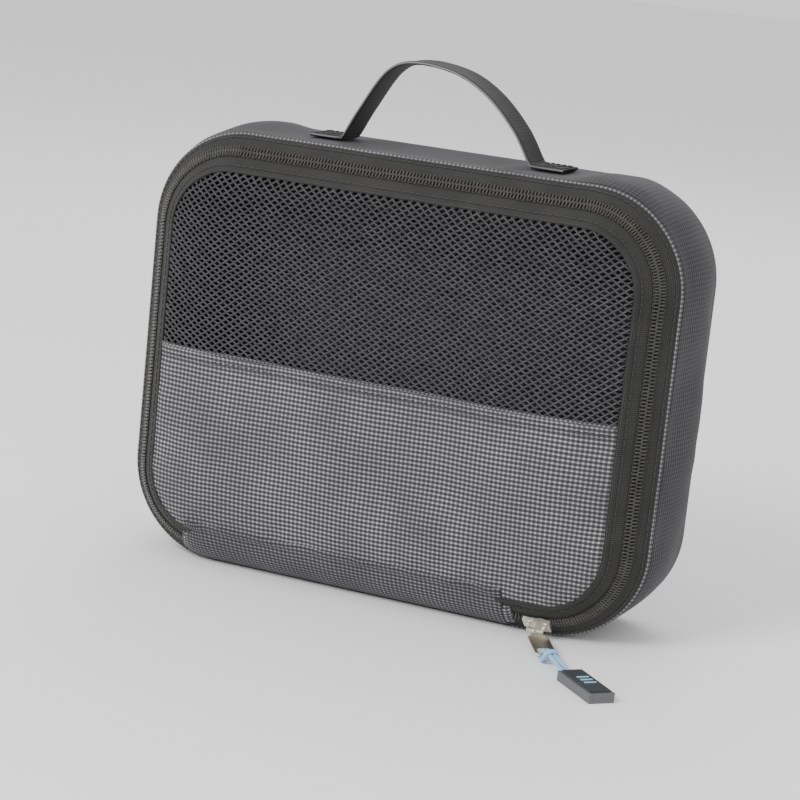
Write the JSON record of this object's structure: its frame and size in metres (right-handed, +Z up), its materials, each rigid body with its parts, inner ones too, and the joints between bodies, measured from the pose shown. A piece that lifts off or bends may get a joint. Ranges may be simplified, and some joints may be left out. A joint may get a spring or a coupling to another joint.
{
  "type": "packing cube",
  "caption": "Soft rectangular travel packing cube with a net and fabric lid, a wrap-round coil zip, a webbing top handle and a corded zip pull.",
  "frame": {"origin": "on the floor, under the middle of the base panel's width", "axes": "+X to the right seen from the lid side, -Y out through the lid, +Z up towards the handle"},
  "size_m": [0.2516, 0.1229, 0.2282],
  "materials": {
    "dark_cloth": "matte two-tone weave",
    "light_cloth": "matte two-tone weave with pale dots",
    "net": "knitted net",
    "zip_tape": "woven tape",
    "zip_coil": "satin nylon",
    "black_web": "ribbed webbing",
    "metal": "plated metal",
    "cord": "braided cord",
    "tag_rubber": "moulded soft plastic"
  },
  "bodies": {
    "shell": {"gusset_band": "dark_cloth", "base_panel": "dark_cloth", "back_panel": "dark_cloth", "back_binding": "black_web", "outer_tape": "zip_tape", "outer_coil": "zip_coil", "inner_tape_foot_right": "zip_tape", "inner_tape_foot_left": "zip_tape", "inner_coil_foot_right": "zip_coil", "inner_coil_foot_left": "zip_coil", "zip_end_right": "light_cloth", "zip_end_left": "light_cloth", "hinge_strip": "light_cloth", "handle_foot_left": "black_web", "handle_foot_right": "black_web", "foot_stitch_left": "black_web", "foot_stitch_right": "black_web"},
    "lid": {"net_panel": "net", "fabric_panel": "light_cloth", "seam_band": "light_cloth", "inner_tape": "zip_tape", "inner_coil": "zip_coil"},
    "handle": {"handle_webbing": "black_web"},
    "slider": {"slider_top": "metal", "slider_base": "metal", "slider_bridge": "metal"},
    "pull": {"pull_ring": "metal", "pull_plate": "metal"},
    "cord": {"pull_cord": "cord", "tag": "tag_rubber", "tag_pad": "tag_rubber"}
  },
  "joints": [
    {"name": "lid_fold", "type": "hinge", "parent": "shell", "child": "lid", "pos_m": [0, -0.0314, 0.0172], "axis": [1, 0, 0], "range_deg": [0, 90]},
    {"name": "handle_fold", "type": "hinge", "parent": "shell", "child": "handle", "pos_m": [0, 0.008, 0.1925], "axis": [1, 0, 0], "range_deg": [-45, 45], "stiffness_Nm_per_rad": 0.01},
    {"name": "slider_run", "type": "hinge", "parent": "shell", "child": "slider", "pos_m": [0.078, -0.0242, 0.042], "axis": [0, -1, 0], "range_deg": [0, 25]},
    {"name": "pull_swing", "type": "hinge", "parent": "slider", "child": "pull", "pos_m": [0.078, -0.02823, 0.00397], "axis": [1, 0, 0], "range_deg": [-60, 0]},
    {"name": "cord_swing", "type": "hinge", "parent": "pull", "child": "cord", "pos_m": [0.09195, -0.05239, 0.003], "axis": [0, 0, 1], "range_deg": [-25, 0]}
  ]
}
